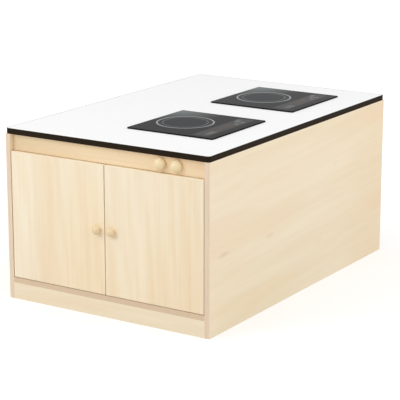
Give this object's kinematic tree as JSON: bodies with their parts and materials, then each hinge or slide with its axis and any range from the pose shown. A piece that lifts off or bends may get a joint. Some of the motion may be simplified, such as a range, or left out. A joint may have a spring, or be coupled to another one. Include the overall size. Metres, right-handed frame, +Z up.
{
  "type": "induction hob cabinet",
  "caption": "Low free-standing kitchen block with inset cupboard doors, a recessed fascia with control knobs, and a white worktop that carries built-in induction hobs.",
  "frame": {"origin": "on the floor, under the centre of the box around the cabinet and its door knobs", "axes": "+X to the right seen from the doors, +Y from the doors to the back, +Z up"},
  "size_m": [0.8, 1.222, 0.5948],
  "materials": {
    "maple_board": "light maple decor, satin",
    "turned_wood": "clear satin lacquer",
    "beech_dowel": "plain",
    "white_laminate_board": "white laminate, satin",
    "beige_edging": "satin edge band",
    "black_edging": "satin edge band",
    "black_glass": "polished glass ceramic",
    "black_plastic": "moulded",
    "white_plastic": "moulded",
    "black_foam": "foam tape",
    "plated_steel": "nickel plated",
    "zinc_steel": "zinc plated sheet",
    "aluminium_sink": "extruded",
    "copper_winding": "enamelled litz wire"
  },
  "bodies": {
    "cabinet": {"adjustable_shelf": "maple_board", "back_panel": "maple_board", "bottom_board": "maple_board", "cable_grommet": "black_plastic", "carcass_dowels": "beech_dowel", "carcass_edging": "beige_edging", "centre_bearer": "maple_board", "door_catches": "white_plastic", "fascia_board": "maple_board", "fixing_screws": "plated_steel", "front_hob_coil": "copper_winding", "front_hob_coil_carrier": "black_plastic", "front_hob_fan_frame": "black_plastic", "front_hob_glass": "black_glass", "front_hob_power_board": "aluminium_sink", "front_hob_touch_module": "white_plastic", "front_hob_tray": "zinc_steel", "front_plinth": "maple_board", "guard_board": "maple_board", "hinge_arms": "plated_steel", "hinge_plates": "plated_steel", "hob_clamps": "zinc_steel", "hob_seals": "black_foam", "left_rotary_switch": "black_plastic", "left_side_panel": "maple_board", "rear_hob_coil": "copper_winding", "rear_hob_coil_carrier": "black_plastic", "rear_hob_fan_frame": "black_plastic", "rear_hob_glass": "black_glass", "rear_hob_power_board": "aluminium_sink", "rear_hob_touch_module": "white_plastic", "rear_hob_tray": "zinc_steel", "right_rotary_switch": "black_plastic", "right_side_panel": "maple_board", "shelf_pins": "plated_steel", "switch_nuts": "plated_steel", "worktop_board": "white_laminate_board", "worktop_brackets": "zinc_steel", "worktop_edging": "black_edging", "worktop_rail": "maple_board"},
    "left_door": {"left_door": "maple_board", "left_door_edging": "beige_edging", "left_door_knob": "turned_wood", "left_knob_screw": "plated_steel", "left_hinge_cups": "plated_steel", "left_hinge_pins": "plated_steel", "left_strike_plate": "plated_steel"},
    "right_door": {"right_door": "maple_board", "right_door_edging": "beige_edging", "right_door_knob": "turned_wood", "right_knob_screw": "plated_steel", "right_hinge_cups": "plated_steel", "right_hinge_pins": "plated_steel", "right_strike_plate": "plated_steel"},
    "left_control": {"left_control_knob": "turned_wood", "left_control_spindle": "plated_steel"},
    "right_control": {"right_control_knob": "turned_wood", "right_control_spindle": "plated_steel"},
    "front_fan": {"front_hob_fan_impeller": "black_plastic"},
    "rear_fan": {"rear_hob_fan_impeller": "black_plastic"}
  },
  "joints": [
    {"name": "left_door_hinge", "type": "hinge", "parent": "cabinet", "child": "left_door", "pos_m": [-0.366, -0.5797, 0.29525], "axis": [0, 0, 1], "range_deg": [-100, 0]},
    {"name": "right_door_hinge", "type": "hinge", "parent": "cabinet", "child": "right_door", "pos_m": [0.366, -0.5797, 0.29525], "axis": [0, 0, 1], "range_deg": [0, 100]},
    {"name": "left_control_turn", "type": "hinge", "parent": "cabinet", "child": "left_control", "pos_m": [0.211, -0.575, 0.543], "axis": [0, 1, 0], "range_deg": [0, 270]},
    {"name": "right_control_turn", "type": "hinge", "parent": "cabinet", "child": "right_control", "pos_m": [0.273, -0.575, 0.543], "axis": [0, 1, 0], "range_deg": [0, 270]},
    {"name": "front_fan_spin", "type": "hinge", "parent": "cabinet", "child": "front_fan", "pos_m": [0.007, -0.214, 0.5518], "axis": [0, 0, 1], "continuous": true},
    {"name": "rear_fan_spin", "type": "hinge", "parent": "cabinet", "child": "rear_fan", "pos_m": [0.007, 0.3062, 0.5518], "axis": [0, 0, 1], "continuous": true}
  ]
}
